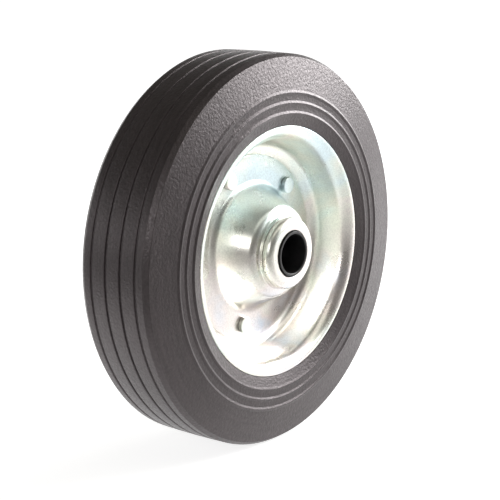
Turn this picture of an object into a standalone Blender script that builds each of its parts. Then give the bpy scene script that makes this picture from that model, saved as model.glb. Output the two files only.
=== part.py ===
"""Jockey wheel: a solid rubber tyre on a pressed steel rim, with a riveted hub and a plain bush.

The wheel's centre is the origin. It stands upright on +Z and turns about the Y axis, with its front on +Y.
Every round piece is an outline of (radius, distance from the wheel's middle plane) points, turned about
the piece's own Z axis and then laid along Y.
"""
import math

import bmesh
import bpy
from mathutils import Vector

MM = 0.001

# Driving dimensions
WHEEL_DIAMETER = 200 * MM
TYRE_WIDTH = 50 * MM
RIM_DIAMETER = 127.8 * MM
HUB_LENGTH = 60 * MM
BORE_DIAMETER = 20 * MM
SHEET = 1.0 * MM
CLEARANCE = 0.3 * MM

# Overall places worked out from them
WHEEL_RADIUS = WHEEL_DIAMETER / 2
HALF_WIDTH = TYRE_WIDTH / 2
RIM_RADIUS = RIM_DIAMETER / 2
HALF_HUB = HUB_LENGTH / 2
BORE_RADIUS = BORE_DIAMETER / 2

# Tread: evenly spaced grooves round a slightly crowned face, and a chamfered shoulder
CROWN_DROP = 0.3 * MM
SHOULDER_WIDTH = 6.6 * MM
SHOULDER_INSET = 3.9 * MM
SHOULDER_DROP = 2 * MM
GROOVES_PER_HALF = 2
GROOVE_WIDTH = 1.7 * MM
GROOVE_DEPTH = 2.5 * MM
GROOVE_DRAFT = 0.2 * MM
LAND_HALF_WIDTH = HALF_WIDTH - SHOULDER_WIDTH
GROOVE_PITCH = LAND_HALF_WIDTH / GROOVES_PER_HALF

# Sidewall: a bulge out to the full width, then stepped rings down to the rim
RING_COUNT = 3
RING_PITCH = 5.1 * MM
RING_MARGIN = 6.4 * MM
RING_FOOT_INSET = 1.2 * MM
RING_CREST_INSET = 0.5 * MM
RING_RAMP = 1.2 * MM
SIDEWALL_RISE = (SHOULDER_INSET + RING_FOOT_INSET) / 2

# Rim: each half is one pressing with a rolled lip, a coned wall and a flat web
LIP_INSET = 2.1 * MM
LIP_WIDTH = 4.7 * MM
LIP_ROLL_RADIUS = 6 * MM
WALL_TAPER = 7.8 * MM
WALL_FOOT_FILLET = 4.5 * MM
TYRE_SEAT_DEPTH = 8.4 * MM
RIM_HALF_WIDTH = HALF_WIDTH - LIP_INSET
WALL_TOP_RADIUS = RIM_RADIUS - LIP_WIDTH
WALL_FOOT_RADIUS = WALL_TOP_RADIUS - WALL_TAPER
WEB_FACE = CLEARANCE / 2 + SHEET

# Hub ends: a sleeve bush whose nose stands out of a pressed cap on the end of the tube
BUSH_WALL = 3.9 * MM
BUSH_GAP = 6 * MM
BUSH_NOSE_WALL = 1.4 * MM
BUSH_NOSE_HEIGHT = 0.8 * MM
BUSH_LIP_ROUND = 0.45 * MM
NOSE_GAP = 0.6 * MM
TUBE_WALL = 3 * MM
CAP_DEPTH = 4.8 * MM
CAP_ROLL_RADIUS = 3.5 * MM
BUSH_NOSE_RADIUS = BORE_RADIUS + BUSH_NOSE_WALL
BUSH_BODY_RADIUS = BORE_RADIUS + BUSH_WALL
TUBE_BORE_RADIUS = BUSH_BODY_RADIUS + CLEARANCE
TUBE_RADIUS = TUBE_BORE_RADIUS + TUBE_WALL
CAP_RADIUS = TUBE_RADIUS + CLEARANCE + SHEET
CAP_FACE = HALF_HUB - BUSH_NOSE_HEIGHT
CAP_BACK = CAP_FACE - CAP_DEPTH
CAP_HOLE_RADIUS = BUSH_NOSE_RADIUS + NOSE_GAP
TUBE_END = CAP_FACE - SHEET - CLEARANCE

# Hub shell: a flat flange riveted to the web, drawn up into a dome, with a collar up to the end cap
FLANGE_MARGIN = 3.8 * MM
FLANGE_WIDTH = 15.3 * MM
DOME_BASE_FILLET = 5 * MM
DOME_TOP_WIDTH = 3.3 * MM
DOME_TOP_FILLET = 4 * MM
COLLAR_FILLET = 0.8 * MM
HUB_END_REACH = 7.8 * MM
WEB_OVERHANG = 2.2 * MM
FLANGE_RADIUS = WALL_FOOT_RADIUS - FLANGE_MARGIN
FLANGE_FACE = WEB_FACE + CLEARANCE + SHEET
DOME_BASE_RADIUS = FLANGE_RADIUS - FLANGE_WIDTH
COLLAR_RADIUS = TUBE_RADIUS + CLEARANCE + SHEET
COLLAR_END = CAP_BACK - CLEARANCE
DOME_TOP_RADIUS = COLLAR_RADIUS + DOME_TOP_WIDTH
DOME_FACE = HALF_HUB - HUB_END_REACH
WEB_HOLE_RADIUS = DOME_BASE_RADIUS - WEB_OVERHANG

# Rivets through both hub flanges and both rim webs
RIVET_COUNT = 5
RIVET_FIRST_ANGLE = math.radians(44)
RIVET_OUTSET = 0.5 * MM
RIVET_HEAD_RADIUS = 4.25 * MM
RIVET_HEAD_HEIGHT = 2 * MM
RIVET_HEAD_ROUND = 0.4 * MM
RIVET_SHANK_RADIUS = 2.5 * MM
RIVET_CIRCLE_RADIUS = (FLANGE_RADIUS + DOME_BASE_RADIUS) / 2 + RIVET_OUTSET
RIVET_SEAT = FLANGE_FACE + CLEARANCE

# Facets round each kind of piece, and along each rounded corner
TYRE_SEGMENTS = 48
RIM_SEGMENTS = 48
HUB_SEGMENTS = 30
END_SEGMENTS = 24
RIVET_SEGMENTS = 12
HOLE_SEGMENTS = 10
SIDEWALL_STEPS = 5
ARC_STEP_ANGLE = math.radians(30)
EDGE_ROUND_LIMIT = 1 * MM
SHARP_ANGLE = math.radians(32)

FRONT = 1
BACK = -1


def new_material(name, colour, roughness, metallic):
    """A Principled material with plain values."""
    material = bpy.data.materials.new(name)
    material.use_nodes = True
    shader = material.node_tree.nodes["Principled BSDF"]
    shader.inputs["Base Color"].default_value = (*colour, 1)
    shader.inputs["Roughness"].default_value = roughness
    shader.inputs["Metallic"].default_value = metallic
    material.diffuse_color = (*colour, 1)
    return material


def rubber_material():
    return new_material("rubber", (0.055, 0.05, 0.05), 0.72, 0)


def zinc_material(name):
    return new_material(name, (0.78, 0.78, 0.77), 0.24, 1)


def nylon_material(name):
    return new_material(name, (0.02, 0.02, 0.022), 0.4, 0)


def corner(radius, along, rounding=0.0):
    """One corner of an outline, with the radius that it is rounded to."""
    return Vector((radius, along)), rounding


def arc_points(centre, first, last, steps):
    """Points along the short arc round a centre, first and last included."""
    start = first - centre
    end = last - centre
    sweep = start.angle(end)
    points = []
    for step in range(steps + 1):
        part = step / steps
        from_start = start * math.sin((1 - part) * sweep)
        from_end = end * math.sin(part * sweep)
        points.append(centre + (from_start + from_end) / math.sin(sweep))
    return points


def rounded_corner(before, point, after, rounding):
    """Points of the arc that rounds one corner of an outline, or of the bevel on a small edge."""
    to_before = (before - point).normalized()
    to_after = (after - point).normalized()
    angle = to_before.angle(to_after)
    centre = point + (to_before + to_after).normalized() * (rounding / math.sin(angle / 2))
    reach = rounding / math.tan(angle / 2)
    steps = 1 if rounding < EDGE_ROUND_LIMIT else max(2, round((math.pi - angle) / ARC_STEP_ANGLE))
    return arc_points(centre, point + to_before * reach, point + to_after * reach, steps)


def rounded_outline(corners, closed=False):
    """Points of an outline whose corners are rounded where they say so."""
    points = []
    last = len(corners) - 1
    for index, (point, rounding) in enumerate(corners):
        at_end = index in (0, last) and not closed
        if at_end or rounding == 0:
            points.append(point)
            continue
        before = corners[index - 1][0]
        after = corners[(index + 1) % len(corners)][0]
        points.extend(rounded_corner(before, point, after, rounding))
    return points


def left_of(direction):
    return Vector((-direction.y, direction.x))


def offset_corners(corners, distance):
    """Corners of the line that runs at a distance to the left of an open outline."""
    moved = []
    last = len(corners) - 1
    for index, (point, rounding) in enumerate(corners):
        before = corners[max(index - 1, 0)][0]
        after = corners[min(index + 1, last)][0]
        leaving = (after - point if index < last else point - before).normalized()
        arriving = (point - before if index > 0 else leaving).normalized()
        normals = left_of(arriving), left_of(leaving)
        mitre = (normals[0] + normals[1]) / (1 + normals[0].dot(normals[1]))
        turns_left = arriving.x * leaving.y - arriving.y * leaving.x > 0
        new_rounding = rounding + (-distance if turns_left else distance) if rounding else 0
        moved.append((point + mitre * distance, new_rounding))
    return moved


def sheet_outline(corners):
    """Closed outline of a pressed sheet, from the corners of its visible side."""
    visible = rounded_outline(corners)
    hidden = rounded_outline(offset_corners(corners, SHEET))
    return visible + hidden[::-1]


def mirrored(points):
    """The same points on the other side of the middle plane, in reverse order."""
    return [Vector((point.x, -point.y)) for point in reversed(points)]


def bulged_line(first, last, rise, steps):
    """Points along an arc that stands out by a rise to the left of the line between two points."""
    chord = last - first
    middle = (first + last) / 2
    centre = middle + left_of(chord).normalized() * (rise / 2 - chord.length_squared / (8 * rise))
    return arc_points(centre, first, last, steps)


def turned_mesh(name, outline, segments, closed=True):
    """Turn an outline once about Z into a closed body."""
    mesh = bpy.data.meshes.new(name)
    body = bmesh.new()
    verts = [body.verts.new((point.x, 0, point.y)) for point in outline]
    edges = [body.edges.new(pair) for pair in zip(verts, verts[1:])]
    if closed:
        edges.append(body.edges.new((verts[-1], verts[0])))
    bmesh.ops.spin(body, geom=verts + edges, axis=(0, 0, 1), cent=(0, 0, 0),
                   steps=segments, angle=math.tau, use_merge=True)
    bmesh.ops.remove_doubles(body, verts=body.verts[:], dist=0.001 * MM)
    bmesh.ops.recalc_face_normals(body, faces=body.faces[:])
    body.to_mesh(mesh)
    body.free()
    mesh.shade_smooth()
    mesh.set_sharp_from_angle(angle=SHARP_ANGLE)
    return mesh


def add_piece(name, mesh, material, side=FRONT):
    """Place a turned mesh with its own Z axis along the wheel's axle, towards the front or the back."""
    piece = bpy.data.objects.new(name, mesh)
    piece.rotation_euler = (-side * math.pi / 2, 0, 0)
    mesh.materials.append(material)
    bpy.context.scene.collection.objects.link(piece)
    return piece


def crowned_radius(along):
    return WHEEL_RADIUS - CROWN_DROP * (along / LAND_HALF_WIDTH) ** 2


def tread_points():
    """Half of the tread, from the middle plane out to the shoulder."""
    points = []
    floor = WHEEL_RADIUS - GROOVE_DEPTH
    for index in range(GROOVES_PER_HALF):
        middle = (index + 0.5) * GROOVE_PITCH
        for along, bottom in ((-GROOVE_WIDTH / 2, -GROOVE_WIDTH / 2 + GROOVE_DRAFT),
                              (GROOVE_WIDTH / 2, GROOVE_WIDTH / 2 - GROOVE_DRAFT)):
            lip = Vector((crowned_radius(middle + along), middle + along))
            foot = Vector((floor, middle + bottom))
            points.extend((lip, foot) if along < 0 else (foot, lip))
    points.append(Vector((crowned_radius(LAND_HALF_WIDTH), LAND_HALF_WIDTH)))
    return points


def sidewall_points():
    """The sidewall, from the shoulder over the bulge and down the stepped rings."""
    shoulder = Vector((WHEEL_RADIUS - SHOULDER_DROP, HALF_WIDTH - SHOULDER_INSET))
    foot_along = HALF_WIDTH - RING_FOOT_INSET
    crest_along = HALF_WIDTH - RING_CREST_INSET
    inner_ring = RIM_RADIUS + RING_MARGIN
    ring_radii = [inner_ring + index * RING_PITCH for index in reversed(range(RING_COUNT))]
    first_foot = Vector((ring_radii[0], foot_along))
    points = bulged_line(shoulder, first_foot, -SIDEWALL_RISE, SIDEWALL_STEPS)
    for index, radius in enumerate(ring_radii):
        if index > 0:
            points.append(Vector((radius, foot_along)))
        points.append(Vector((radius - RING_RAMP, crest_along)))
    return points


def rim_corners():
    """The visible side of a rim half: lip edge, lip roll, foot of the wall, edge of the hole."""
    return [
        corner(RIM_RADIUS, RIM_HALF_WIDTH),
        corner(WALL_TOP_RADIUS, RIM_HALF_WIDTH, LIP_ROLL_RADIUS),
        corner(WALL_FOOT_RADIUS, WEB_FACE, WALL_FOOT_FILLET),
        corner(WEB_HOLE_RADIUS, WEB_FACE),
    ]


def tyre_seat_points():
    """The tyre's inner side, which follows the back of the rim's lip and wall at the clearance."""
    lip, top, foot, _ = offset_corners(rim_corners(), SHEET + CLEARANCE)
    lip_start = corner(RIM_RADIUS + CLEARANCE, lip[0].y)
    share = (RIM_RADIUS - TYRE_SEAT_DEPTH - foot[0].x) / (top[0].x - foot[0].x)
    wall_end = (foot[0].lerp(top[0], share), 0)
    seat_mouth = Vector((RIM_RADIUS + CLEARANCE, RIM_HALF_WIDTH))
    return [seat_mouth] + rounded_outline([lip_start, top, wall_end])


def make_tyre():
    half = tread_points() + sidewall_points() + tyre_seat_points()
    mesh = turned_mesh("tyre", half + mirrored(half), TYRE_SEGMENTS)
    return add_piece("tyre", mesh, rubber_material())


def make_rim_half(name, side):
    mesh = turned_mesh(name, sheet_outline(rim_corners()), RIM_SEGMENTS)
    return add_piece(name, mesh, zinc_material(name + "_zinc"), side)


def make_hub_shell(name, side):
    corners = [
        corner(FLANGE_RADIUS, FLANGE_FACE),
        corner(DOME_BASE_RADIUS, FLANGE_FACE, DOME_BASE_FILLET),
        corner(DOME_TOP_RADIUS, DOME_FACE, DOME_TOP_FILLET),
        corner(COLLAR_RADIUS, DOME_FACE, COLLAR_FILLET),
        corner(COLLAR_RADIUS, COLLAR_END),
    ]
    mesh = turned_mesh(name, sheet_outline(corners), HUB_SEGMENTS)
    return add_piece(name, mesh, zinc_material(name + "_zinc"), side)


def make_hub_tube():
    """The tube between the end caps, its outer corners rounded to sit inside them."""
    end_round = CAP_ROLL_RADIUS - SHEET - CLEARANCE
    half = rounded_outline([
        corner(TUBE_RADIUS, 0),
        corner(TUBE_RADIUS, TUBE_END, end_round),
        corner(TUBE_BORE_RADIUS, TUBE_END),
    ])[1:]
    mesh = turned_mesh("hub_tube", half + mirrored(half), END_SEGMENTS)
    return add_piece("hub_tube", mesh, zinc_material("hub_tube_zinc"))


def make_end_cap(name, side):
    corners = [
        corner(CAP_RADIUS, CAP_BACK),
        corner(CAP_RADIUS, CAP_FACE, CAP_ROLL_RADIUS),
        corner(CAP_HOLE_RADIUS, CAP_FACE),
    ]
    mesh = turned_mesh(name, sheet_outline(corners), END_SEGMENTS)
    return add_piece(name, mesh, zinc_material(name + "_zinc"), side)


def make_bush(name, side):
    corners = [
        corner(BORE_RADIUS, BUSH_GAP / 2),
        corner(BUSH_BODY_RADIUS, BUSH_GAP / 2),
        corner(BUSH_BODY_RADIUS, TUBE_END),
        corner(BUSH_NOSE_RADIUS, TUBE_END),
        corner(BUSH_NOSE_RADIUS, HALF_HUB, BUSH_LIP_ROUND),
        corner(BORE_RADIUS, HALF_HUB, BUSH_LIP_ROUND),
    ]
    mesh = turned_mesh(name, rounded_outline(corners, closed=True), END_SEGMENTS)
    return add_piece(name, mesh, nylon_material(name + "_nylon"), side)


def rivet_places():
    """Centres of the rivets in the middle plane."""
    places = []
    for index in range(RIVET_COUNT):
        angle = RIVET_FIRST_ANGLE + index * math.tau / RIVET_COUNT
        places.append(Vector((-math.cos(angle), 0, math.sin(angle))) * RIVET_CIRCLE_RADIUS)
    return places


def make_rivet(name, place):
    """A rivet with a flat head on each side of the wheel."""
    top = RIVET_SEAT + RIVET_HEAD_HEIGHT
    half = rounded_outline([
        corner(RIVET_SHANK_RADIUS, RIVET_SEAT),
        corner(RIVET_HEAD_RADIUS, RIVET_SEAT),
        corner(RIVET_HEAD_RADIUS, top, RIVET_HEAD_ROUND),
        corner(0, top),
    ])
    outline = mirrored(half) + half
    mesh = turned_mesh(name, outline, RIVET_SEGMENTS, closed=False)
    rivet = add_piece(name, mesh, zinc_material(name + "_zinc"))
    rivet.location = place
    return rivet


def make_rivet_drill():
    """Cutter with one cylinder for each rivet hole, long enough for every sheet."""
    mesh = bpy.data.meshes.new("rivet_drill")
    body = bmesh.new()
    radius = RIVET_SHANK_RADIUS + CLEARANCE
    for place in rivet_places():
        made = bmesh.ops.create_cone(body, cap_ends=True, segments=HOLE_SEGMENTS, radius1=radius,
                                     radius2=radius, depth=2 * RIVET_SEAT)
        bmesh.ops.translate(body, verts=made["verts"], vec=(place.x, -place.z, 0))
    body.to_mesh(mesh)
    body.free()
    drill = bpy.data.objects.new("rivet_drill", mesh)
    drill.rotation_euler = (-math.pi / 2, 0, 0)
    drill.hide_render = True
    drill.display_type = "WIRE"
    bpy.context.scene.collection.objects.link(drill)
    return drill


def drill_holes(piece, drill):
    cut = piece.modifiers.new("rivet_holes", "BOOLEAN")
    cut.operation = "DIFFERENCE"
    cut.solver = "EXACT"
    cut.object = drill


def clear_scene():
    for item in list(bpy.data.objects):
        bpy.data.objects.remove(item, do_unlink=True)


def build_wheel():
    clear_scene()
    make_tyre()
    drill = make_rivet_drill()
    for side, end in ((FRONT, "front"), (BACK, "back")):
        drill_holes(make_rim_half("rim_" + end, side), drill)
        drill_holes(make_hub_shell("hub_shell_" + end, side), drill)
        make_end_cap("end_cap_" + end, side)
        make_bush("bush_" + end, side)
    make_hub_tube()
    for index, place in enumerate(rivet_places(), 1):
        make_rivet("rivet_" + str(index), place)


build_wheel()
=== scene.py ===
"""Finish of the jockey wheel: finely turned rubber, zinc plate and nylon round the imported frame.

Every outline here is a list of (radius, distance from the wheel's middle plane) corners in
millimetres, with the radius that each corner is rounded to, turned once about the wheel's axle,
which lies along Y.
"""

import math

import bmesh
import bpy
import numpy as np
from mathutils import Matrix, Vector


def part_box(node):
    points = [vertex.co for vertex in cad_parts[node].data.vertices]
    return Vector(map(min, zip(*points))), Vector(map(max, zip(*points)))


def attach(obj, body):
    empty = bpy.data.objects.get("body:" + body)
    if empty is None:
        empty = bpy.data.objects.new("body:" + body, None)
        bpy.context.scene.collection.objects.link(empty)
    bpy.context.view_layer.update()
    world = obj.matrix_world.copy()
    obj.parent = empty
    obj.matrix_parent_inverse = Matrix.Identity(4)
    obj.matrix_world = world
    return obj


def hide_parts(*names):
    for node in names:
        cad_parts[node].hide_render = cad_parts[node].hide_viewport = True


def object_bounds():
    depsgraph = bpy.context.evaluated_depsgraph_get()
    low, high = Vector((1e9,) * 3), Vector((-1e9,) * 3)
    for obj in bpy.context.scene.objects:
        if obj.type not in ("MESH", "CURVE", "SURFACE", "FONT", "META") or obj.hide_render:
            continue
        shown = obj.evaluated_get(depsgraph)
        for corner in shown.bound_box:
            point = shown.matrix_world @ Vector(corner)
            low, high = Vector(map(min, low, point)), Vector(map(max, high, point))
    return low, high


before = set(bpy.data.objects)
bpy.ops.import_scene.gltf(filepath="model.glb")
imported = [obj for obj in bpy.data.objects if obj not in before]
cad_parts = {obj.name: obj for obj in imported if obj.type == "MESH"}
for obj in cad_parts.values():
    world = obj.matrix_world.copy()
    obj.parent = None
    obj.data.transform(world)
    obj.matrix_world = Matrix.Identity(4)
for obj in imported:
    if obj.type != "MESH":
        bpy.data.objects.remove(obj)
cad_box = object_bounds()

MM = 0.001
FRONT = 1
BACK = -1
SIDES = ((FRONT, "front"), (BACK, "back"))

# Sheet, gaps and small rounds, in millimetres
SHEET = 1.0
CLEARANCE = 0.3
SHEET_EDGE_ROUND = 0.3
RUBBER_EDGE_ROUND = 0.45

# Height of the hub ends over the domes, in millimetres
HUB_END_REACH = 7.8

# Steps round each piece and along each rounded corner
TYRE_SEGMENTS = 272
RIM_SEGMENTS = 288
HUB_SEGMENTS = 240
END_SEGMENTS = 144
RIVET_SEGMENTS = 48
ARC_STEP_ANGLE = math.radians(7.5)
SHARP_ANGLE = math.radians(40)

# Camera
PHOTO_WIDTH = 500
FOCAL_PIXELS = 1478
SENSOR_WIDTH = 36
CAMERA_DISTANCE = 0.761
CAMERA_DIRECTION = (0.7588, 0.6136, 0.2181)
CAMERA_ROLL = math.radians(-0.25)
OBJECT_CENTRE_PIXEL = (247.0, 245.5)

# Floor: its own colour, and what the camera sees of it near the wheel and far away
FLOOR_HALF = 40.0
FLOOR_COLOUR = (0.55, 0.55, 0.55, 1)
FLOOR_ROUGHNESS = 0.9
FLOOR_SEEN_REACH = (0.3, 1.0)
FLOOR_SEEN_LEVELS = (0.82, 1.0)

# Pools of light that only mirroring surfaces see on the floor: centre, reach and level
POOLS = (
    ((-1.6, -0.8), (0.0, 1.8), 3.6),
    ((-0.25, -0.15), (0.1, 0.5), 1.15),
    ((0.16, -0.16), (0.1, 0.3), 0.95),
)

# Room that is mirrored, and the low bright backdrop behind the wheel
ROOM_LOW_COLOUR = (0.19, 0.185, 0.18)
ROOM_HIGH_COLOUR = (0.13, 0.125, 0.11)
ROOM_LOW_HEIGHT = 0.1
ROOM_HIGH_HEIGHT = 0.8
BACKDROP_SIDE = (-0.5, -0.87, 0.0)
BACKDROP_EDGE = (-0.3, 0.7)
BACKDROP_TOP = (0.05, 0.34)
BACKDROP_LEVEL = 2.4

# Lamps: name, azimuth and elevation in degrees, distance, size, radiance and colour
WHITE = (1.0, 1.0, 1.0)
LAMPS = (
    ("key", -65, 25, 1.3, (1.05, 0.78), 10.2, WHITE),
    ("ceiling", 4, 56, 1.3, (1.3, 0.5), 0.9, (1.0, 0.97, 0.9)),
    ("fill", -36, 16, 1.3, (0.45, 0.4), 1.3, WHITE),
    ("window", 71, 21, 1.2, (0.55, 0.42), 3.2, WHITE),
    ("side", 112, 8, 1.2, (0.5, 0.3), 0.65, WHITE),
)


def outer_radius(node):
    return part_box(node)[1].x / MM


def far_side(node):
    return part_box(node)[1].y / MM


def near_side(node):
    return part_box(node)[0].y / MM


# Sizes read from the frame, in millimetres
WHEEL_RADIUS = outer_radius("tyre")
HALF_WIDTH = far_side("tyre")
RIM_RADIUS = outer_radius("rim_front")
RIM_HALF_WIDTH = far_side("rim_front")
FLANGE_RADIUS = outer_radius("hub_shell_front")
COLLAR_END = far_side("hub_shell_front")
TUBE_RADIUS = outer_radius("hub_tube")
TUBE_END = far_side("hub_tube")
CAP_RADIUS = outer_radius("end_cap_front")
CAP_FACE = far_side("end_cap_front")
CAP_BACK = near_side("end_cap_front")
BUSH_BODY_RADIUS = outer_radius("bush_front")
BUSH_INNER_END = near_side("bush_front")
HALF_HUB = far_side("bush_front")
DOME_FACE = HALF_HUB - HUB_END_REACH
RIVET_TOP = far_side("rivet_1")


def corner(radius, along, rounding=0.0):
    return Vector((radius, along)), rounding


def arc_points(centre, first, last, steps):
    """Points along the short arc round a centre, first and last included."""
    start = first - centre
    end = last - centre
    sweep = start.angle(end)
    points = []
    for step in range(steps + 1):
        part = step / steps
        from_start = start * math.sin((1 - part) * sweep)
        from_end = end * math.sin(part * sweep)
        points.append(centre + (from_start + from_end) / math.sin(sweep))
    return points


def rounded_corner(before, point, after, rounding):
    """Points of the arc that rounds one corner of an outline."""
    to_before = (before - point).normalized()
    to_after = (after - point).normalized()
    angle = to_before.angle(to_after)
    centre = point + (to_before + to_after).normalized() * (rounding / math.sin(angle / 2))
    reach = rounding / math.tan(angle / 2)
    steps = max(3, round((math.pi - angle) / ARC_STEP_ANGLE))
    return arc_points(centre, point + to_before * reach, point + to_after * reach, steps)


def rounded_outline(corners, closed=False):
    """Points of an outline whose corners are rounded where they say so."""
    points = []
    last = len(corners) - 1
    for index, (point, rounding) in enumerate(corners):
        at_end = index in (0, last) and not closed
        if at_end or rounding == 0:
            points.append(point)
            continue
        before = corners[index - 1][0]
        after = corners[(index + 1) % len(corners)][0]
        points.extend(rounded_corner(before, point, after, rounding))
    return points


def left_of(direction):
    return Vector((-direction.y, direction.x))


def offset_corners(corners, distance):
    """Corners of the line that runs at a distance to the left of an open outline."""
    moved = []
    last = len(corners) - 1
    for index, (point, rounding) in enumerate(corners):
        before = corners[max(index - 1, 0)][0]
        after = corners[min(index + 1, last)][0]
        leaving = (after - point if index < last else point - before).normalized()
        arriving = (point - before if index > 0 else leaving).normalized()
        normals = left_of(arriving), left_of(leaving)
        mitre = (normals[0] + normals[1]) / (1 + normals[0].dot(normals[1]))
        turns_left = arriving.x * leaving.y - arriving.y * leaving.x > 0
        new_rounding = rounding + (-distance if turns_left else distance) if rounding else 0
        moved.append((point + mitre * distance, new_rounding))
    return moved


def sheet_outline(corners):
    """Closed outline of a pressed sheet with soft edges, from the corners of its visible side."""
    visible = list(corners)
    hidden = offset_corners(corners, SHEET)
    for line in (visible, hidden):
        for end in (0, -1):
            line[end] = (line[end][0], SHEET_EDGE_ROUND)
    return rounded_outline(visible + hidden[::-1], closed=True)


def mirrored(points):
    """The same points on the other side of the middle plane, in reverse order."""
    return [Vector((point.x, -point.y)) for point in reversed(points)]


def turned_mesh(name, outline, segments, axis_ends=False):
    """Turn an outline once about the wheel's axle into a closed body of smooth quads."""
    rings = len(outline)
    radii = np.array([point.x for point in outline]) * MM
    alongs = np.array([point.y for point in outline]) * MM
    angles = np.arange(segments) * (math.tau / segments)
    x = np.outer(np.cos(angles), radii)
    z = np.outer(np.sin(angles), radii)
    y = np.tile(alongs, (segments, 1))
    verts = np.stack((x, y, z), axis=-1).reshape(-1, 3)
    faces = []
    bands = rings - 1 if axis_ends else rings
    for turn in range(segments):
        this_ring = turn * rings
        next_ring = (turn + 1) % segments * rings
        for band in range(bands):
            following = (band + 1) % rings
            faces.append((this_ring + band, this_ring + following,
                          next_ring + following, next_ring + band))
    mesh = bpy.data.meshes.new(name)
    mesh.from_pydata(verts.tolist(), [], faces)
    finish_mesh(mesh)
    return mesh


def finish_mesh(mesh):
    """Merge coinciding points, point the faces outwards and shade them smooth."""
    body = bmesh.new()
    body.from_mesh(mesh)
    bmesh.ops.remove_doubles(body, verts=body.verts[:], dist=0.0001 * MM)
    bmesh.ops.recalc_face_normals(body, faces=body.faces[:])
    body.to_mesh(mesh)
    body.free()
    mesh.shade_smooth()
    mesh.set_sharp_from_angle(angle=SHARP_ANGLE)


def place_piece(name, node, mesh, material):
    """One finished piece that stands for a node of the frame."""
    piece = bpy.data.objects.new(name, mesh)
    piece.data.materials.append(material)
    bpy.context.scene.collection.objects.link(piece)
    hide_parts(node)
    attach(piece, "root")


class Nodes:
    """Small helper that adds and joins the shader nodes of a material or a world."""

    def __init__(self, owner):
        owner.use_nodes = True
        self.owner = owner
        self.tree = owner.node_tree
        coordinates = self.add("ShaderNodeTexCoord")
        self.place = coordinates.outputs["Object"]
        self.direction = coordinates.outputs["Generated"]

    def add(self, kind, **settings):
        node = self.tree.nodes.new(kind)
        for key, value in settings.items():
            setattr(node, key, value)
        return node

    def join(self, source, target):
        self.tree.links.new(source, target)

    def math(self, operation, first, second=None):
        node = self.add("ShaderNodeMath", operation=operation)
        for index, value in enumerate((first, second)):
            if value is None:
                continue
            if isinstance(value, (int, float)):
                node.inputs[index].default_value = value
            else:
                self.join(value, node.inputs[index])
        return node.outputs[0]

    def noise(self, scale, detail, roughness, at=None, distortion=0.0):
        node = self.add("ShaderNodeTexNoise")
        node.inputs["Scale"].default_value = scale
        node.inputs["Detail"].default_value = detail
        node.inputs["Roughness"].default_value = roughness
        node.inputs["Distortion"].default_value = distortion
        self.join(at or self.place, node.inputs["Vector"])
        return node.outputs["Fac"]

    def ramp(self, factor, stops):
        """Colours along a factor; each stop is (position, colour)."""
        node = self.add("ShaderNodeValToRGB")
        elements = node.color_ramp.elements
        while len(elements) < len(stops):
            elements.new(0.5)
        for element, (position, colour) in zip(elements, stops):
            element.position = position
            element.color = (*colour, 1)
        self.join(factor, node.inputs["Fac"])
        return node.outputs["Color"]

    def spread(self, factor, span, levels):
        """A factor whose span, first value to last, becomes a range of levels."""
        node = self.add("ShaderNodeMapRange")
        node.inputs["From Min"].default_value, node.inputs["From Max"].default_value = span
        node.inputs["To Min"].default_value, node.inputs["To Max"].default_value = levels
        self.join(factor, node.inputs["Value"])
        return node.outputs["Result"]

    def blend(self, kind, first, second):
        """A full mix of two colours, such as MULTIPLY or ADD."""
        node = self.add("ShaderNodeMix", data_type="RGBA", blend_type=kind)
        node.inputs["Factor"].default_value = 1.0
        self.join(first, node.inputs["A"])
        self.join(second, node.inputs["B"])
        return node.outputs["Result"]

    def pool(self, centre, reach, level):
        """A level near a centre that falls off to nothing over a reach of distances."""
        length = self.add("ShaderNodeVectorMath", operation="DISTANCE")
        self.join(self.place, length.inputs[0])
        length.inputs[1].default_value = centre
        return self.spread(length.outputs["Value"], reach, (level, 0.0))

    def bump(self, height, relief, strength=1.0, under=None):
        """A normal for a height map with a relief in millimetres, over another normal or none."""
        node = self.add("ShaderNodeBump")
        node.inputs["Distance"].default_value = relief * MM
        node.inputs["Strength"].default_value = strength
        self.join(height, node.inputs["Height"])
        if under is not None:
            self.join(under, node.inputs["Normal"])
        return node.outputs["Normal"]

    def streaks(self, ring_scale, turn_scale, detail, roughness):
        """Noise drawn out round the axle, in coordinates of radius, distance along it and turn."""
        split = self.add("ShaderNodeSeparateXYZ")
        self.join(self.place, split.inputs[0])
        squared = self.math("ADD", self.math("MULTIPLY", split.outputs["X"], split.outputs["X"]),
                            self.math("MULTIPLY", split.outputs["Z"], split.outputs["Z"]))
        radius = self.math("SQRT", squared)
        turn = self.math("ARCTAN2", split.outputs["Z"], split.outputs["X"])
        merge = self.add("ShaderNodeCombineXYZ")
        self.join(self.math("MULTIPLY", radius, ring_scale), merge.inputs["X"])
        self.join(self.math("MULTIPLY", split.outputs["Y"], ring_scale), merge.inputs["Y"])
        self.join(self.math("MULTIPLY", turn, turn_scale), merge.inputs["Z"])
        return self.noise(1.0, detail, roughness, at=merge.outputs[0])

    def finish(self, colour, roughness, normal, **values):
        """Give the shader its maps and constants, and return the material."""
        shader = self.tree.nodes["Principled BSDF"]
        self.join(colour, shader.inputs["Base Color"])
        self.join(roughness, shader.inputs["Roughness"])
        self.join(normal, shader.inputs["Normal"])
        for key, value in values.items():
            shader.inputs[key.replace("_", " ")].default_value = value
        return self.owner


# Wide and narrow ranges of a noise that become the full range of a shade or a roughness
WIDE_SPAN = (0.3, 0.7)
NARROW_SPAN = (0.35, 0.65)

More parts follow.
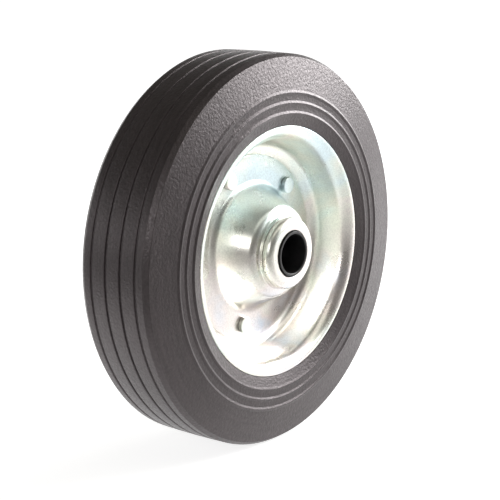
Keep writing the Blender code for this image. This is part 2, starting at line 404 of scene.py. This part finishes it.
# Rubber: scales of its noise, tones, shades of pebbles and streaks, and relief in millimetres
RUBBER_CLOUD_SCALE = 28
RUBBER_PEBBLE_SCALE = 760
RUBBER_STREAK_SCALES = (700, 5)
RUBBER_SHINE_SCALE = 900
RUBBER_TONES = (
    (0.3, (0.018, 0.014, 0.0145)),
    (0.7, (0.027, 0.022, 0.023)),
)
RUBBER_PEBBLE_SHADES = (0.7, 1.3)
RUBBER_STREAK_SHADES = (0.6, 1.4)
RUBBER_ROUGHNESS = (0.31, 0.49)
RUBBER_STREAK_RELIEF = 0.04
RUBBER_PEBBLE_RELIEF = 0.2
RUBBER_SPECULAR = 0.88
RUBBER_SHEEN = (1.0, 0.9, 0.92, 1.0)

# Zinc: scales of its noise, tints, shades of the painted dark reflections and of the speckles, and
# relief in millimetres
ZINC_TINT_SCALE = 22
ZINC_PAINTED_REFLECTION_SCALE = 16
ZINC_SPECKLE_SCALE = 1300
ZINC_SHINE_SCALE = 60
ZINC_MARK_SCALES = (900, 6)
ZINC_TINTS = (
    (0.30, (0.76, 0.89, 0.93)),
    (0.42, (0.84, 0.93, 0.88)),
    (0.52, (0.95, 0.95, 0.86)),
    (0.62, (0.95, 0.88, 0.85)),
    (0.74, (0.79, 0.85, 0.94)),
)
# Painted dark reflections: the part of their noise that darkens the zinc, and how far it darkens
ZINC_PAINTED_REFLECTION_SPAN = (0.4, 0.56)
ZINC_PAINTED_REFLECTION_SHADES = (0.9, 1.0)
ZINC_SPECKLE_SHADES = (0.88, 1.04)
ZINC_ROUGHNESS = (0.25, 0.36)
ZINC_MARK_RELIEF = 0.012

# Nylon: scales of its noise, tones, and relief in millimetres
NYLON_GRAIN_SCALE = 300
NYLON_SHINE_SCALE = 900
NYLON_RING_SCALES = (1500, 2)
NYLON_TONES = (
    (0.3, (0.008, 0.008, 0.009)),
    (0.7, (0.016, 0.015, 0.016)),
)
NYLON_ROUGHNESS = (0.3, 0.45)
NYLON_RING_RELIEF = 0.01


def rubber_material():
    """Dark warm grey moulded rubber: a pebbled skin with faint streaks round the wheel."""
    nodes = Nodes(bpy.data.materials.new("moulded_rubber"))
    cloud = nodes.noise(RUBBER_CLOUD_SCALE, detail=5, roughness=0.6)
    pebble = nodes.noise(RUBBER_PEBBLE_SCALE, detail=2, roughness=0.5)
    streaks = nodes.streaks(*RUBBER_STREAK_SCALES, detail=3, roughness=0.6)
    shine = nodes.noise(RUBBER_SHINE_SCALE, detail=3, roughness=0.6)
    mottle = nodes.math("MULTIPLY", nodes.spread(pebble, WIDE_SPAN, RUBBER_PEBBLE_SHADES),
                        nodes.spread(streaks, WIDE_SPAN, RUBBER_STREAK_SHADES))
    colour = nodes.blend("MULTIPLY", nodes.ramp(cloud, RUBBER_TONES), mottle)
    roughness = nodes.spread(shine, NARROW_SPAN, RUBBER_ROUGHNESS)
    normal = nodes.bump(streaks, RUBBER_STREAK_RELIEF)
    normal = nodes.bump(pebble, RUBBER_PEBBLE_RELIEF, under=normal)
    return nodes.finish(colour, roughness, normal,
                        Specular_IOR_Level=RUBBER_SPECULAR, Specular_Tint=RUBBER_SHEEN)


def zinc_material(name, seed):
    """Bright zinc plate with faint iridescent tints, patches of painted dark reflection scattered
    at random, fine speckles and soft marks.
    """
    nodes = Nodes(bpy.data.materials.new(name))
    shift = nodes.add("ShaderNodeMapping")
    shift.inputs["Location"].default_value = (seed, 2 * seed, -seed)
    nodes.join(nodes.place, shift.inputs["Vector"])
    shifted = shift.outputs["Vector"]
    clouds = nodes.noise(ZINC_TINT_SCALE, detail=3, roughness=0.55, at=shifted, distortion=0.4)
    tint = nodes.ramp(clouds, ZINC_TINTS)
    # Painted reflection: random darker patches in the colour that stand in for dark surroundings
    # mirrored in the zinc
    painted_reflections = nodes.noise(ZINC_PAINTED_REFLECTION_SCALE, detail=3, roughness=0.6, at=shifted)
    speckles = nodes.noise(ZINC_SPECKLE_SCALE, detail=2, roughness=0.6)
    mottle = nodes.math("MULTIPLY", nodes.spread(painted_reflections, ZINC_PAINTED_REFLECTION_SPAN, ZINC_PAINTED_REFLECTION_SHADES),
                        nodes.spread(speckles, NARROW_SPAN, ZINC_SPECKLE_SHADES))
    shine = nodes.noise(ZINC_SHINE_SCALE, detail=4, roughness=0.6)
    roughness = nodes.spread(shine, WIDE_SPAN, ZINC_ROUGHNESS)
    marks = nodes.streaks(*ZINC_MARK_SCALES, detail=3, roughness=0.6)
    normal = nodes.bump(marks, ZINC_MARK_RELIEF, strength=0.6)
    return nodes.finish(nodes.blend("MULTIPLY", tint, mottle), roughness, normal, Metallic=1.0)


def nylon_material():
    """Black moulded nylon with a faint grain and dull lathe rings."""
    nodes = Nodes(bpy.data.materials.new("black_nylon"))
    tone = nodes.ramp(nodes.noise(NYLON_GRAIN_SCALE, detail=4, roughness=0.6), NYLON_TONES)
    shine = nodes.noise(NYLON_SHINE_SCALE, detail=3, roughness=0.6)
    roughness = nodes.spread(shine, WIDE_SPAN, NYLON_ROUGHNESS)
    rings = nodes.streaks(*NYLON_RING_SCALES, detail=2, roughness=0.5)
    return nodes.finish(tone, roughness, nodes.bump(rings, NYLON_RING_RELIEF, strength=0.5))


# Tyre: crowned tread with evenly spaced grooves, chamfered shoulder, coned face and low ridges
CROWN_DROP = 0.3
SHOULDER_WIDTH = 6.6
SHOULDER_INSET = 3.9
SHOULDER_DROP = 2.0
GROOVES_PER_HALF = 2
GROOVE_WIDTH = 1.6
GROOVE_DEPTH = 1.0
GROOVE_DRAFT = 0.3
GROOVE_ROUND = 0.5
RING_COUNT = 3
RING_PITCH = 5.1
RING_MARGIN = 6.4
RING_LEAN = 0.2
RING_RISE = 0.7
RING_RAMP = 1.2
RING_FALL = 0.6
RING_BACK = 1.2
RING_FOOT_ROUND = 0.5
RING_CREST_ROUND = 0.6
RING_BACK_ROUND = 0.5
TYRE_SEAT_DEPTH = 8.4
SEAT_MOUTH_ROUND = 0.2

# Rim: rolled lip, flared mouth, steep wall and flat web
LIP_WIDTH = 2.1
LIP_ROLL_RADIUS = 5.0
MOUTH_TAPER = 4.2
MOUTH_DEPTH = 2.9
MOUTH_ROLL_RADIUS = 9.0
WALL_TAPER = 4.0
WALL_FOOT_FILLET = 6.5
WEB_OVERHANG = 2.2
LIP_CREST_RADIUS = RIM_RADIUS - LIP_WIDTH
WALL_TOP_RADIUS = LIP_CREST_RADIUS - MOUTH_TAPER
WALL_TOP = RIM_HALF_WIDTH - MOUTH_DEPTH
WALL_FOOT_RADIUS = WALL_TOP_RADIUS - WALL_TAPER
WEB_FACE = CLEARANCE / 2 + SHEET

# Hub shell, cap and bush
FLANGE_WIDTH = 15.3
DOME_BASE_FILLET = 5.0
DOME_TOP_WIDTH = 4.1
DOME_TOP_FILLET = 5.2
COLLAR_FILLET = 0.8
FLANGE_BEND_RADIUS = 41.5
FLANGE_BEND_ROUND = 60.0
FLANGE_RISE = 0.45
FLANGE_FACE = WEB_FACE + CLEARANCE + SHEET
DOME_BASE_RADIUS = FLANGE_RADIUS - FLANGE_WIDTH
COLLAR_RADIUS = TUBE_RADIUS + CLEARANCE + SHEET
TUBE_WALL = 3.0
CAP_ROLL_RADIUS = 3.5
BUSH_WALL = 3.9
BUSH_NOSE_WALL = 1.4
BUSH_LIP_ROUND = 0.5
BUSH_EDGE_ROUND = 0.2
BUSH_INNER_ROUND = 0.3
NOSE_GAP = 0.6
BORE_RADIUS = BUSH_BODY_RADIUS - BUSH_WALL
BUSH_NOSE_RADIUS = BORE_RADIUS + BUSH_NOSE_WALL

# Rivets
RIVET_COUNT = 5
RIVET_HEAD_RADIUS = 4.25
RIVET_HEAD_ROUND = 0.45
RIVET_FOOT_ROUND = 0.2
RIVET_SHANK_RADIUS = 2.5
RIVET_SEAT = FLANGE_FACE + CLEARANCE


def crowned_radius(along):
    land = HALF_WIDTH - SHOULDER_WIDTH
    return WHEEL_RADIUS - CROWN_DROP * (along / land) ** 2


def tread_corners():
    """Half of the tread, from the middle plane out to the chamfered shoulder."""
    land = HALF_WIDTH - SHOULDER_WIDTH
    pitch = land / GROOVES_PER_HALF
    floor = WHEEL_RADIUS - GROOVE_DEPTH
    corners = [corner(WHEEL_RADIUS, 0)]
    for index in range(GROOVES_PER_HALF):
        middle = (index + 0.5) * pitch
        lip = GROOVE_WIDTH / 2
        foot = lip - GROOVE_DRAFT
        corners += [
            corner(crowned_radius(middle - lip), middle - lip, GROOVE_ROUND),
            corner(floor, middle - foot, RUBBER_EDGE_ROUND),
            corner(floor, middle + foot, RUBBER_EDGE_ROUND),
            corner(crowned_radius(middle + lip), middle + lip, GROOVE_ROUND),
        ]
    corners.append(corner(crowned_radius(land), land, RUBBER_EDGE_ROUND))
    return corners


def sidewall_corners():
    """The sidewall, from the shoulder over the coned face and each low ridge."""
    inner_ring = RIM_RADIUS + RING_MARGIN
    corners = [corner(WHEEL_RADIUS - SHOULDER_DROP, HALF_WIDTH - SHOULDER_INSET, RUBBER_EDGE_ROUND)]
    for index in reversed(range(RING_COUNT)):
        radius = inner_ring + index * RING_PITCH
        crest_along = HALF_WIDTH - index * RING_LEAN
        corners.append(corner(radius + RING_RAMP, crest_along - RING_RISE, RING_FOOT_ROUND))
        corners.append(corner(radius, crest_along, RING_CREST_ROUND))
        corners.append(corner(radius - RING_BACK, crest_along - RING_FALL, RING_BACK_ROUND))
    return corners


def rim_corners():
    """The visible side of a rim half: lip edge, lip, top and foot of the wall, edge of the hole."""
    return [
        corner(RIM_RADIUS, RIM_HALF_WIDTH),
        corner(LIP_CREST_RADIUS, RIM_HALF_WIDTH, LIP_ROLL_RADIUS),
        corner(WALL_TOP_RADIUS, WALL_TOP, MOUTH_ROLL_RADIUS),
        corner(WALL_FOOT_RADIUS, WEB_FACE, WALL_FOOT_FILLET),
        corner(DOME_BASE_RADIUS - WEB_OVERHANG, WEB_FACE),
    ]


def tyre_seat_corners():
    """The tyre's inner side, which follows the back of the rim's lip and wall at the clearance."""
    lip, crest, top, foot, _ = offset_corners(rim_corners(), SHEET + CLEARANCE)
    lip_start = corner(RIM_RADIUS + CLEARANCE, lip[0].y)
    share = (RIM_RADIUS - TYRE_SEAT_DEPTH - foot[0].x) / (top[0].x - foot[0].x)
    wall_end = (foot[0].lerp(top[0], share), 0)
    mouth = corner(RIM_RADIUS + CLEARANCE, RIM_HALF_WIDTH, SEAT_MOUTH_ROUND)
    return [mouth, lip_start, crest, top, wall_end]


def make_tyre(material):
    half = rounded_outline(tread_corners() + sidewall_corners() + tyre_seat_corners())
    mesh = turned_mesh("tyre_rubber", half + mirrored(half)[:-1], TYRE_SEGMENTS)
    place_piece("tyre_rubber", "tyre", mesh, material)


def sided(points, side):
    """An outline for the front, or its mirror image for the back."""
    return points if side == FRONT else mirrored(points)


def make_rim_half(end, side, material):
    mesh = turned_mesh("rim_" + end, sided(sheet_outline(rim_corners()), side), RIM_SEGMENTS)
    place_piece("rim_half_" + end, "rim_" + end, mesh, material)


def make_hub_shell(end, side, material):
    corners = [
        corner(FLANGE_RADIUS, FLANGE_FACE),
        corner(FLANGE_BEND_RADIUS, FLANGE_FACE, FLANGE_BEND_ROUND),
        corner(DOME_BASE_RADIUS, FLANGE_FACE + FLANGE_RISE, DOME_BASE_FILLET),
        corner(COLLAR_RADIUS + DOME_TOP_WIDTH, DOME_FACE, DOME_TOP_FILLET),
        corner(COLLAR_RADIUS, DOME_FACE, COLLAR_FILLET),
        corner(COLLAR_RADIUS, COLLAR_END),
    ]
    mesh = turned_mesh("hub_" + end, sided(sheet_outline(corners), side), HUB_SEGMENTS)
    place_piece("hub_dome_" + end, "hub_shell_" + end, mesh, material)


def make_hub_tube(material):
    end_round = CAP_ROLL_RADIUS - SHEET - CLEARANCE
    half = [
        corner(TUBE_RADIUS, 0),
        corner(TUBE_RADIUS, TUBE_END, end_round),
        corner(TUBE_RADIUS - TUBE_WALL, TUBE_END),
    ]
    points = rounded_outline(half)[1:]
    mesh = turned_mesh("tube", points + mirrored(points), END_SEGMENTS)
    place_piece("hub_tube_steel", "hub_tube", mesh, material)


def make_end_cap(end, side, material):
    corners = [
        corner(CAP_RADIUS, CAP_BACK),
        corner(CAP_RADIUS, CAP_FACE, CAP_ROLL_RADIUS),
        corner(BUSH_NOSE_RADIUS + NOSE_GAP, CAP_FACE),
    ]
    mesh = turned_mesh("cap_" + end, sided(sheet_outline(corners), side), END_SEGMENTS)
    place_piece("hub_cap_" + end, "end_cap_" + end, mesh, material)


def make_bush(end, side, material):
    corners = [
        corner(BORE_RADIUS, BUSH_INNER_END, BUSH_INNER_ROUND),
        corner(BUSH_BODY_RADIUS, BUSH_INNER_END, BUSH_INNER_ROUND),
        corner(BUSH_BODY_RADIUS, TUBE_END),
        corner(BUSH_NOSE_RADIUS, TUBE_END),
        corner(BUSH_NOSE_RADIUS, HALF_HUB, BUSH_EDGE_ROUND),
        corner(BORE_RADIUS, HALF_HUB, BUSH_LIP_ROUND),
    ]
    outline = rounded_outline(corners, closed=True)
    mesh = turned_mesh("bush_" + end, sided(outline, side), END_SEGMENTS)
    place_piece("axle_bush_" + end, "bush_" + end, mesh, material)


def make_rivet(number, material):
    """A flat-headed rivet, turned round its own centre and moved to its place."""
    node = "rivet_" + str(number)
    low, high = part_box(node)
    place = (low + high) / 2
    half = rounded_outline([
        corner(RIVET_SHANK_RADIUS, RIVET_SEAT),
        corner(RIVET_HEAD_RADIUS, RIVET_SEAT, RIVET_FOOT_ROUND),
        corner(RIVET_HEAD_RADIUS, RIVET_TOP, RIVET_HEAD_ROUND),
        corner(0, RIVET_TOP),
    ])
    mesh = turned_mesh(node, mirrored(half) + half, RIVET_SEGMENTS, axis_ends=True)
    mesh.transform(Matrix.Translation((place.x, 0, place.z)))
    place_piece("rivet_pin_" + str(number), node, mesh, material)


def make_wheel():
    rim_zinc = zinc_material("zinc_rim", seed=0.0)
    hub_zinc = zinc_material("zinc_hub", seed=0.35)
    cap_zinc = zinc_material("zinc_cap", seed=0.8)
    nylon = nylon_material()
    make_tyre(rubber_material())
    for side, end in SIDES:
        make_rim_half(end, side, rim_zinc)
        make_hub_shell(end, side, hub_zinc)
        make_end_cap(end, side, cap_zinc)
        make_bush(end, side, nylon)
    make_hub_tube(cap_zinc)
    for number in range(1, RIVET_COUNT + 1):
        make_rivet(number, cap_zinc)


def make_camera():
    direction = Vector(CAMERA_DIRECTION).normalized()
    data = bpy.data.cameras.new("camera")
    data.sensor_width = SENSOR_WIDTH
    data.lens = SENSOR_WIDTH * FOCAL_PIXELS / PHOTO_WIDTH
    middle = (PHOTO_WIDTH - 1) / 2
    data.shift_x = (middle - OBJECT_CENTRE_PIXEL[0]) / PHOTO_WIDTH
    data.shift_y = (OBJECT_CENTRE_PIXEL[1] - middle) / PHOTO_WIDTH
    camera = bpy.data.objects.new("camera", data)
    bpy.context.scene.collection.objects.link(camera)
    turn = (-direction).to_track_quat("-Z", "Y").to_matrix().to_4x4()
    camera.matrix_world = (Matrix.Translation(direction * CAMERA_DISTANCE) @ turn
                           @ Matrix.Rotation(CAMERA_ROLL, 4, "Z"))
    bpy.context.scene.camera = camera


def make_floor():
    """A wide pale floor that looks white and keeps the wheel's soft shadow.

    What the wheel mirrors of it is dim, but for the pools of light.
    """
    low = cad_box[0].z
    half = FLOOR_HALF
    mesh = bpy.data.meshes.new("floor")
    verts = [(-half, -half, low), (half, -half, low), (half, half, low), (-half, half, low)]
    mesh.from_pydata(verts, [], [(0, 1, 2, 3)])
    floor = bpy.data.objects.new("floor", mesh)
    bpy.context.scene.collection.objects.link(floor)
    nodes = Nodes(bpy.data.materials.new("pale_floor"))
    shader = nodes.tree.nodes["Principled BSDF"]
    shader.inputs["Base Color"].default_value = FLOOR_COLOUR
    shader.inputs["Roughness"].default_value = FLOOR_ROUGHNESS
    shader.inputs["Specular IOR Level"].default_value = 0.0
    path = nodes.add("ShaderNodeLightPath")
    pools = 0.0
    for centre, reach, level in POOLS:
        pools = nodes.math("ADD", pools, nodes.pool((*centre, low), reach, level))
    away = nodes.add("ShaderNodeVectorMath", operation="LENGTH")
    nodes.join(nodes.place, away.inputs[0])
    seen = nodes.spread(away.outputs["Value"], FLOOR_SEEN_REACH, FLOOR_SEEN_LEVELS)
    mirrored_glow = nodes.math("MULTIPLY", path.outputs["Is Glossy Ray"], pools)
    seen_glow = nodes.math("MULTIPLY", path.outputs["Is Camera Ray"], seen)
    glow = nodes.add("ShaderNodeEmission")
    nodes.join(nodes.math("ADD", mirrored_glow, seen_glow), glow.inputs["Strength"])
    both = nodes.add("ShaderNodeAddShader")
    nodes.join(shader.outputs[0], both.inputs[0])
    nodes.join(glow.outputs[0], both.inputs[1])
    nodes.join(both.outputs[0], nodes.tree.nodes["Material Output"].inputs["Surface"])
    mesh.materials.append(nodes.owner)


def make_world():
    """A dim room with a bright low backdrop behind the wheel. Plain white to the camera."""
    world = bpy.data.worlds.new("studio")
    bpy.context.scene.world = world
    nodes = Nodes(world)
    background = nodes.tree.nodes["Background"]
    split = nodes.add("ShaderNodeSeparateXYZ")
    nodes.join(nodes.direction, split.inputs[0])
    facing = nodes.add("ShaderNodeVectorMath", operation="DOT_PRODUCT")
    nodes.join(nodes.direction, facing.inputs[0])
    facing.inputs[1].default_value = BACKDROP_SIDE
    behind = nodes.spread(facing.outputs["Value"], BACKDROP_EDGE, (0.0, 1.0))
    low = nodes.spread(split.outputs["Z"], BACKDROP_TOP, (1.0, 0.0))
    glow = nodes.math("MULTIPLY", nodes.math("MULTIPLY", behind, low), BACKDROP_LEVEL)
    room = nodes.ramp(split.outputs["Z"], ((ROOM_LOW_HEIGHT, ROOM_LOW_COLOUR),
                                           (ROOM_HIGH_HEIGHT, ROOM_HIGH_COLOUR)))
    seen = nodes.add("ShaderNodeMix", data_type="RGBA")
    seen.inputs["B"].default_value = (1, 1, 1, 1)
    nodes.join(nodes.add("ShaderNodeLightPath").outputs["Is Camera Ray"], seen.inputs["Factor"])
    nodes.join(nodes.blend("ADD", room, glow), seen.inputs["A"])
    nodes.join(seen.outputs["Result"], background.inputs["Color"])


def towards(azimuth, elevation):
    """Direction from the wheel: azimuth from +Y towards +X, and elevation, in degrees."""
    turn, lift = math.radians(azimuth), math.radians(elevation)
    level = math.cos(lift)
    return Vector((math.sin(turn) * level, math.cos(turn) * level, math.sin(lift)))


def add_softbox(name, azimuth, elevation, distance, size, radiance, colour):
    """A rectangular soft light that faces the wheel."""
    direction = towards(azimuth, elevation)
    data = bpy.data.lights.new(name, "AREA")
    data.shape = "RECTANGLE"
    data.size, data.size_y = size
    data.energy = radiance * math.pi * size[0] * size[1]
    data.color = colour
    lamp = bpy.data.objects.new(name, data)
    lamp.location = direction * distance
    lamp.rotation_euler = (-direction).to_track_quat("-Z", "Y").to_euler()
    lamp.visible_camera = False
    bpy.context.scene.collection.objects.link(lamp)


def make_lights():
    """A large key light, a pale ceiling, a window and two weak fill lights."""
    for lamp in LAMPS:
        add_softbox(*lamp)


make_wheel()
make_camera()
make_floor()
make_world()
make_lights()

bpy.context.scene.view_settings.view_transform = "Standard"
